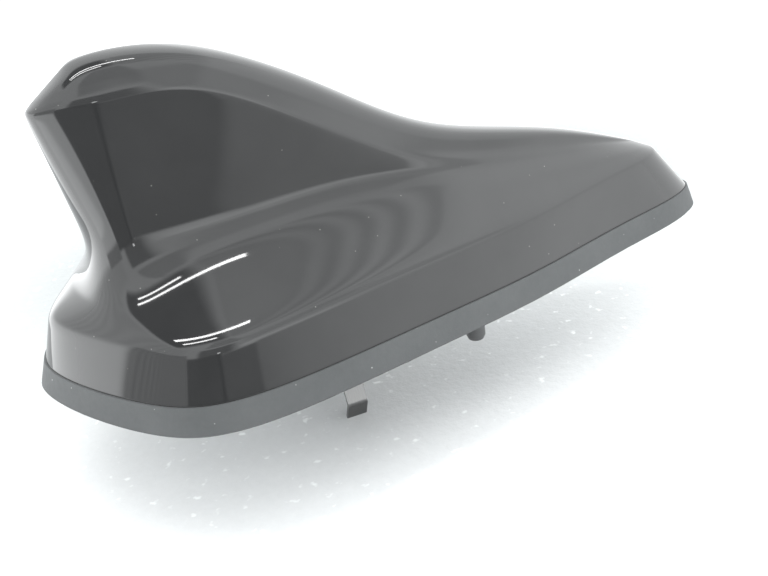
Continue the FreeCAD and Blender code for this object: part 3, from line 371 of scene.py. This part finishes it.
def inset_pole(name, column, pole, inset):
    """A pole moved in by the wall."""
    inward, down = INSET[name]
    moved = pole.copy()
    if column <= REAR_END:
        forward, drop = REAR_RIDGE_INSET if name == "ridge" else (inward, down)
        moved += Vector((forward, -inward * (column == REAR_END), -drop)) * inset
    elif column <= SIDE_END:
        moved -= Vector((0, inward, down)) * inset
    else:
        back = 1.0 if name == "base" else NOSE_INSET
        moved -= Vector((back, NOSE_SIDE_INSET * inward * (column < NOSE_END), down)) * inset
    if column in (0, NOSE_END) or name == "ridge":
        moved.y = 0
    return moved


def blended(rear, front):
    """One size for each column: the rear face has one, the next is between, the others have the second."""
    rear, front = COVER[rear], COVER[front]
    return [rear] * (REAR_END + 1) + [(rear + front) / 2] + [front] * (NOSE_END - REAR_END - 1)


def skin_poles(inset):
    """All poles of a half skin in metres: rows from the base to the ridge, columns from rear to nose."""
    keys = {name: [inset_pole(name, k, pole, inset) for k, pole in enumerate(row)]
            for name, row in key_rows().items()}
    crisp = blended("rear_bevel_size", "bevel_size")
    soft = blended("rear_panel_round", "panel_round")
    columns = []
    for k, (base, bevel, shoulder, foot, crease, ridge) in enumerate(zip(*keys.values())):
        above = toward(bevel, shoulder, soft[k])
        below = toward(crease, foot, COVER["crease_size"])
        low_fin = foot.lerp(crease, LOW_FIN)
        fall, width = HIPS.get(k, PLAIN_HIP)
        inner = ridge.lerp(crease, fall)
        inner.y = width * crease.y
        columns.append((base, base.lerp(bevel, 0.5), toward(bevel, base, crisp[k]), bevel, above,
                        above.lerp(shoulder, 0.5), shoulder, foot, low_fin, low_fin.lerp(below, 0.5), below,
                        crease, toward(crease, inner, COVER["crease_crown"]), inner, ridge))
    poles = np.array(columns).transpose(1, 0, 2)
    return (poles - (COVER["rear_reach"], 0, 0)) * MM


def basis(count, samples):
    """Weights of a clamped, even cubic B-spline: one row for each sample."""
    knots = np.concatenate(([0] * 3, np.linspace(0, 1, count - 2), [1] * 3))
    at = np.minimum(samples, LAST_SAMPLE)[:, None]
    weights = ((knots[:-1] <= at) & (at < knots[1:])).astype(float)
    for degree in (1, 2, 3):
        grown = np.zeros((len(at), len(knots) - 1 - degree))
        for k in range(grown.shape[1]):
            left, right = knots[k + degree] - knots[k], knots[k + degree + 1] - knots[k + 1]
            if left > 0:
                grown[:, k] += (at[:, 0] - knots[k]) / left * weights[:, k]
            if right > 0:
                grown[:, k] += (knots[k + degree + 1] - at[:, 0]) / right * weights[:, k + 1]
        weights = grown
    return weights


# points from the base to the ridge and from the tail to the nose
SKIN_GRID = (190, 230)
LINING_GRID = (60, 90)
RIM_GRID = (2, SKIN_GRID[1])
TAIL_CROWDING = 1.4
JOIN_DISTANCE, SHORTEST_EDGE = 1e-6, 1e-7


def half_grid(inset, up, along):
    """Points of a half skin, closer together towards the tail."""
    poles = skin_poles(inset)
    rise = basis(poles.shape[0], np.linspace(0, 1, up))
    run = basis(poles.shape[1], np.linspace(0, 1, along) ** TAIL_CROWDING)
    return np.einsum("ur,rcd,ac->uad", rise, poles, run)


def lay(mesh, grid, flip):
    """Adds a grid of points to a mesh, with a face in each gap."""
    up, along = grid.shape[:2]
    number = np.arange(up * along).reshape(up, along)
    faces = np.stack((number[:-1, :-1], number[:-1, 1:], number[1:, 1:], number[1:, :-1]), -1).reshape(-1, 4)
    corners = [mesh.verts.new(point) for point in grid.reshape(-1, 3)]
    for face in faces[:, ::-1] if flip else faces:
        mesh.faces.new([corners[k] for k in face])


def whole_skin(inset, up, along, inward):
    """Both halves of a skin, joined on the middle plane."""
    left = half_grid(inset, up, along)
    mesh = bmesh.new()
    lay(mesh, left, not inward)
    lay(mesh, left * (1, -1, 1), inward)
    bmesh.ops.remove_doubles(mesh, verts=mesh.verts, dist=JOIN_DISTANCE)
    bmesh.ops.dissolve_degenerate(mesh, edges=mesh.edges, dist=SHORTEST_EDGE)
    return mesh


def cover_piece():
    """Skin, lining and the rim between them as one piece that stands for the cover."""
    mesh = whole_skin(0.0, *SKIN_GRID, inward=False)
    lining = bpy.data.meshes.new("cover_lining")
    whole_skin(COVER["wall"], *LINING_GRID, inward=True).to_mesh(lining)
    mesh.from_mesh(lining)
    rim = np.stack([half_grid(inset, *RIM_GRID)[0] for inset in (0.0, COVER["wall"])])
    for mirror in (1, -1):
        lay(mesh, rim * (1, mirror, 1), mirror == 1)
    for face in mesh.faces:
        face.smooth = True
    data = bpy.data.meshes.new("cover_moulding")
    mesh.to_mesh(data)
    piece = bpy.data.objects.new("cover_moulding", data)
    scene.collection.objects.link(piece)
    data.materials.append(nodes["cover"].data.materials[0])
    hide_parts("cover")
    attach(piece, "root")


cover_piece()


# Floor

# the block ends near the object, so its glossy skin mirrors the room beyond the floor
FLOOR_CENTRE = (0.03, 0.10)
FLOOR_SIZE = (0.36, 0.46)
FLOOR_GAP = 0.0005
# painted shade: the floor's colour is darker in an oval near the floor's centre, narrower in Y: darkest
# inside the first radius, plain beyond the second
SHADE_OFFSET = (-0.02, -0.005, 0)
SHADE_STRETCH = (1.0, 1.7, 0)
SHADE_RADIUS, PLAIN_RADIUS = 0.095, 0.22


def white_floor():
    """Foam with small bright flecks as painted glints, and darker in an oval on the object's far side as
    painted shade.
    """
    material, tree, shader = start("white_foam")
    place = add(tree, "ShaderNodeTexCoord")
    away = add(tree, "ShaderNodeMapping", Location=SHADE_OFFSET, Scale=SHADE_STRETCH)
    tree.links.new(place.outputs["Object"], away.inputs["Vector"])
    radius = add(tree, "ShaderNodeVectorMath", operation="LENGTH")
    tree.links.new(away.outputs["Vector"], radius.inputs[0])
    # painted shade: dark foam inside the oval, plain foam beyond it
    outer = span(tree, radius.outputs["Value"], low=0.0, high=1.0, start_at=SHADE_RADIUS, end_at=PLAIN_RADIUS)
    grain = noise(tree, scale=420.0, detail=4.0, rough=0.7)
    near, far = (blend_colours(tree, grain, *TONES[name]) for name in ("foam_shaded", "foam_far"))
    # painted glints: bright flecks mixed into the foam's colour
    glint_flecks = span(tree, noise(tree, scale=330.0, detail=2.0), low=0.0, high=0.8, start_at=0.64, end_at=0.74)
    tone = blend_colours(tree, glint_flecks, blend_colours(tree, outer, near, far), GLINT_FLECK)
    tree.links.new(tone, shader.inputs["Base Color"])
    shader.inputs["Roughness"].default_value = 0.7
    bump(tree, shader, grain, strength=0.3, distance=0.0008)
    return material


bpy.ops.mesh.primitive_plane_add(size=1.0, location=(*FLOOR_CENTRE, cad_low.z - FLOOR_GAP))
floor = bpy.context.object
floor.name = "floor"
floor.data.transform(Matrix.Diagonal((*FLOOR_SIZE, 1.0, 1.0)))
floor.data.materials.append(white_floor())


# The room in the world's light. It shows in reflections, and the backdrop itself is plain white.

world = bpy.data.worlds.new("room")
world.use_nodes = True
scene.world = world
room = world.node_tree

# A range is a low end, a high end and the half width of its soft edges. The first range of a part is
# its turn, in degrees round from the rear towards the viewer's side. The second is its rise, in degrees
# above the horizon. A step is where it starts and where it is full.
PLAIN_LEVEL = 2.6
LEFT_TURN, LEFT_TOP, LEFT_LIFT = (-120, -4, 3), (4, 16), 1.5
BEHIND_TURN = (-4, 38, 3)
BEHIND_LIFTS = (((-9, -4), 1.1), ((-20, -16), 1.4))
AHEAD_SLOPE, AHEAD_RISE, AHEAD_LIFT = (0.6, 0.8), (5, 20), 0.5
# parts with one brightness, as a share of the plain level
ZONES = {
    "viewer": ((38, 82, 2), (-26, 6, 3), 0.13),
    "doorway": ((79, 106, 2), (-26, 3, 2), 0.23),
    "lintel": ((54, 93, 5), (3, 42, 3), 0.25),
    "beam": ((58, 101, 5), (50, 79, 3), 0.6),
    "upper wall": ((101, 150, 5), (24, 60, 5), 0.8),
    "light strip": ((97, 128, 4), (5, 15, 2), 1.3),
}
# pleated parts: the share between the pleats, and the pleats' wave in radians for each degree of turn
CLOTHS = {
    "curtain": ((-4, 38, 1.5), (-4, 17, 2), 0.5, 2.4),
    "drape": ((-45, 30, 3), (16, 48, 3), 0.88, 1.0),
}
PLEAT_DEPTH = 0.06
WINDOW, WINDOW_LIFT = ((78.6, 81.4, 0.3), (7, 10.5, 0.3)), 9.0
# the wall past the doorway grows brighter towards the nose
WALL = ((106, 162, 2), (-26, 6, 5))
WALL_TURN, WALL_SHARE = (106.0, 140.0), (0.47, 1.08)
# the ceiling is laid out by how far ahead and how far across a ray goes while it climbs by one
OVERHEAD = (30, 45)
LEAST_CLIMB = 0.05
DARK_AHEAD, DARK_ACROSS, DARK_SHARE = (-0.75, 0.02, 0.06), (-0.12, 0.42, 0.08), 0.08
# slanting slats, which grow brighter and deeper towards the nose
SLAT_SLANT = -1.056
SLAT_START, SLAT_END, SLAT_ACROSS = (0.03, 0.07), (0.755, 0.785), (-0.16, 0.45, 0.05)
SLAT_WAVE, SLAT_PHASE, SLAT_FADE = 40.2, 0.1, (0.08, 0.16)
SLAT_DEPTH_GAIN, SLAT_DEPTH = 0.16, 0.05
SLAT_RUN, SLAT_SHARE = (0.1, 0.7), (0.62, 0.95)
BACKDROP_LEVEL = 1.1
ROOM_COLOUR = (0.975, 0.995, 1.0, 1)


def calc(kind, *values):
    """The result of one operation on sockets and numbers."""
    node = add(room, "ShaderNodeMath", operation=kind)
    for socket, value in zip(node.inputs, values):
        if isinstance(value, (int, float)):
            socket.default_value = value
        else:
            room.links.new(value, socket)
    return node.outputs["Value"]


def product(first, *others):
    for other in others:
        first = calc("MULTIPLY", first, other)
    return first


def step(value, low, high):
    """0 up to the low end, 1 from the high end, smooth between."""
    node = add(room, "ShaderNodeMapRange", interpolation_type="SMOOTHSTEP", From_Min=low, From_Max=high)
    room.links.new(value, node.inputs["Value"])
    return node.outputs["Result"]


def under(value, low, high):
    return calc("SUBTRACT", 1.0, step(value, low, high))


def between(value, low, high, edge):
    return calc("SUBTRACT", step(value, low - edge, low + edge), step(value, high - edge, high + edge))


def scaled(level, mask, share):
    """The level times the share, where the mask is 1."""
    return calc("MULTIPLY", level, calc("MULTIPLY_ADD", mask, calc("SUBTRACT", share, 1.0), 1.0))


def directions():
    """Turn and rise of a ray, and how far ahead and across it goes while it climbs by one."""
    place = add(room, "ShaderNodeTexCoord")
    axes = add(room, "ShaderNodeSeparateXYZ")
    room.links.new(place.outputs["Generated"], axes.inputs[0])
    x, y, z = axes.outputs
    turn = calc("DEGREES", calc("ARCTAN2", calc("MULTIPLY", y, -1), calc("MULTIPLY", x, -1)))
    rise = calc("DEGREES", calc("ARCSINE", z))
    climb = calc("MAXIMUM", z, LEAST_CLIMB)
    return turn, rise, calc("DIVIDE", x, climb), calc("DIVIDE", y, climb)


def plain_walls(turn, rise, ahead):
    """The plain level, brighter at the left, low behind and high ahead."""
    left = product(between(turn, *LEFT_TURN), under(rise, *LEFT_TOP))
    level = calc("MULTIPLY_ADD", left, LEFT_LIFT, PLAIN_LEVEL)
    behind = between(turn, *BEHIND_TURN)
    for top, lift in BEHIND_LIFTS:
        level = calc("ADD", level, product(behind, under(rise, *top), lift))
    high_ahead = product(step(ahead, *AHEAD_SLOPE), step(rise, *AHEAD_RISE))
    return calc("MULTIPLY_ADD", high_ahead, AHEAD_LIFT, level)


def furnished(level, turn, rise):
    """Adds what stands and hangs round the object."""
    def part(turn_range, rise_range):
        return product(between(turn, *turn_range), between(rise, *rise_range))

    for turn_range, rise_range, share in ZONES.values():
        level = scaled(level, part(turn_range, rise_range), share)
    for turn_range, rise_range, share, wave in CLOTHS.values():
        pleats = calc("MULTIPLY_ADD", calc("SINE", product(turn, wave)), PLEAT_DEPTH, share)
        level = scaled(level, part(turn_range, rise_range), pleats)
    level = calc("MULTIPLY_ADD", part(*WINDOW), WINDOW_LIFT, level)
    return scaled(level, part(*WALL), span(room, turn, *WALL_SHARE, *WALL_TURN))


def with_ceiling(level, rise, ahead, across):
    """Adds the dark part of the ceiling and the slats."""
    overhead = step(rise, *OVERHEAD)
    dark = product(between(ahead, *DARK_AHEAD), between(across, *DARK_ACROSS), overhead)
    level = scaled(level, dark, DARK_SHARE)
    lean = calc("MULTIPLY_ADD", across, SLAT_SLANT, ahead)
    slats = product(step(ahead, *SLAT_START), under(lean, *SLAT_END), between(across, *SLAT_ACROSS), overhead)
    wave = product(calc("SINE", calc("MULTIPLY_ADD", lean, SLAT_WAVE, SLAT_PHASE)),
                   calc("MULTIPLY_ADD", lean, SLAT_DEPTH_GAIN, SLAT_DEPTH), step(lean, *SLAT_FADE))
    return scaled(level, slats, calc("ADD", wave, span(room, lean, *SLAT_SHARE, *SLAT_RUN)))


def light_room():
    turn, rise, ahead, across = directions()
    level = furnished(plain_walls(turn, rise, ahead), turn, rise)
    level = with_ceiling(level, rise, ahead, across)
    path = add(room, "ShaderNodeLightPath")
    to_backdrop = calc("SUBTRACT", BACKDROP_LEVEL, level)
    level = calc("MULTIPLY_ADD", path.outputs["Is Camera Ray"], to_backdrop, level)
    background = room.nodes["Background"]
    background.inputs["Color"].default_value = ROOM_COLOUR
    room.links.new(level, background.inputs["Strength"])


light_room()


# Lamps

TUBE_HEIGHT = 1.5
TUBE_WIDTH = 0.05


def tube(name, near, far, radiance):
    """A fluorescent tube as a long, thin area light that shines down."""
    near, far = Vector((*near, TUBE_HEIGHT)), Vector((*far, TUBE_HEIGHT))
    light = bpy.data.lights.new(name, "AREA")
    light.shape = "RECTANGLE"
    light.size = (far - near).length
    light.size_y = TUBE_WIDTH
    light.energy = radiance * math.pi * light.size * TUBE_WIDTH
    lamp = bpy.data.objects.new(name, light)
    scene.collection.objects.link(lamp)
    lamp.location = (near + far) / 2
    lamp.rotation_euler = (0, 0, math.atan2((far - near).y, (far - near).x))


tube("tube_a", near=(-0.80, 0.13), far=(0.20, 0.16), radiance=26.0)
tube("tube_b", near=(-0.75, -0.02), far=(-0.10, 0.0), radiance=24.0)


# Camera, fitted to the photo's outline

FOCAL_PIXELS = 1070.3
FRAME_WIDTH = 768
SENSOR_WIDTH = 36.0
NEAREST = 0.01
AZIMUTH, ELEVATION, ROLL = (math.radians(angle) for angle in (-20.06, 26.74, -6.98))
TARGET = Vector((0.01435, 0, 0.00019))
DISTANCE = 0.25234


def aim_camera():
    data = bpy.data.cameras.new("camera")
    data.sensor_width = SENSOR_WIDTH
    data.lens = FOCAL_PIXELS / FRAME_WIDTH * SENSOR_WIDTH
    data.clip_start = NEAREST
    camera = bpy.data.objects.new("camera", data)
    scene.collection.objects.link(camera)
    level_back = Vector((math.sin(AZIMUTH), -math.cos(AZIMUTH), 0))
    back = level_back * math.cos(ELEVATION) + Vector((0, 0, math.sin(ELEVATION)))
    side = Vector((math.cos(AZIMUTH), math.sin(AZIMUTH), 0))
    upright = back.cross(side)
    right = side * math.cos(ROLL) + upright * math.sin(ROLL)
    up = upright * math.cos(ROLL) - side * math.sin(ROLL)
    turned = Matrix((right, up, back)).transposed().to_4x4()
    camera.matrix_world = Matrix.Translation(TARGET + back * DISTANCE) @ turned
    scene.camera = camera


aim_camera()

scene.render.engine = "CYCLES"
scene.view_settings.view_transform = "Standard"
scene.view_settings.look = "None"
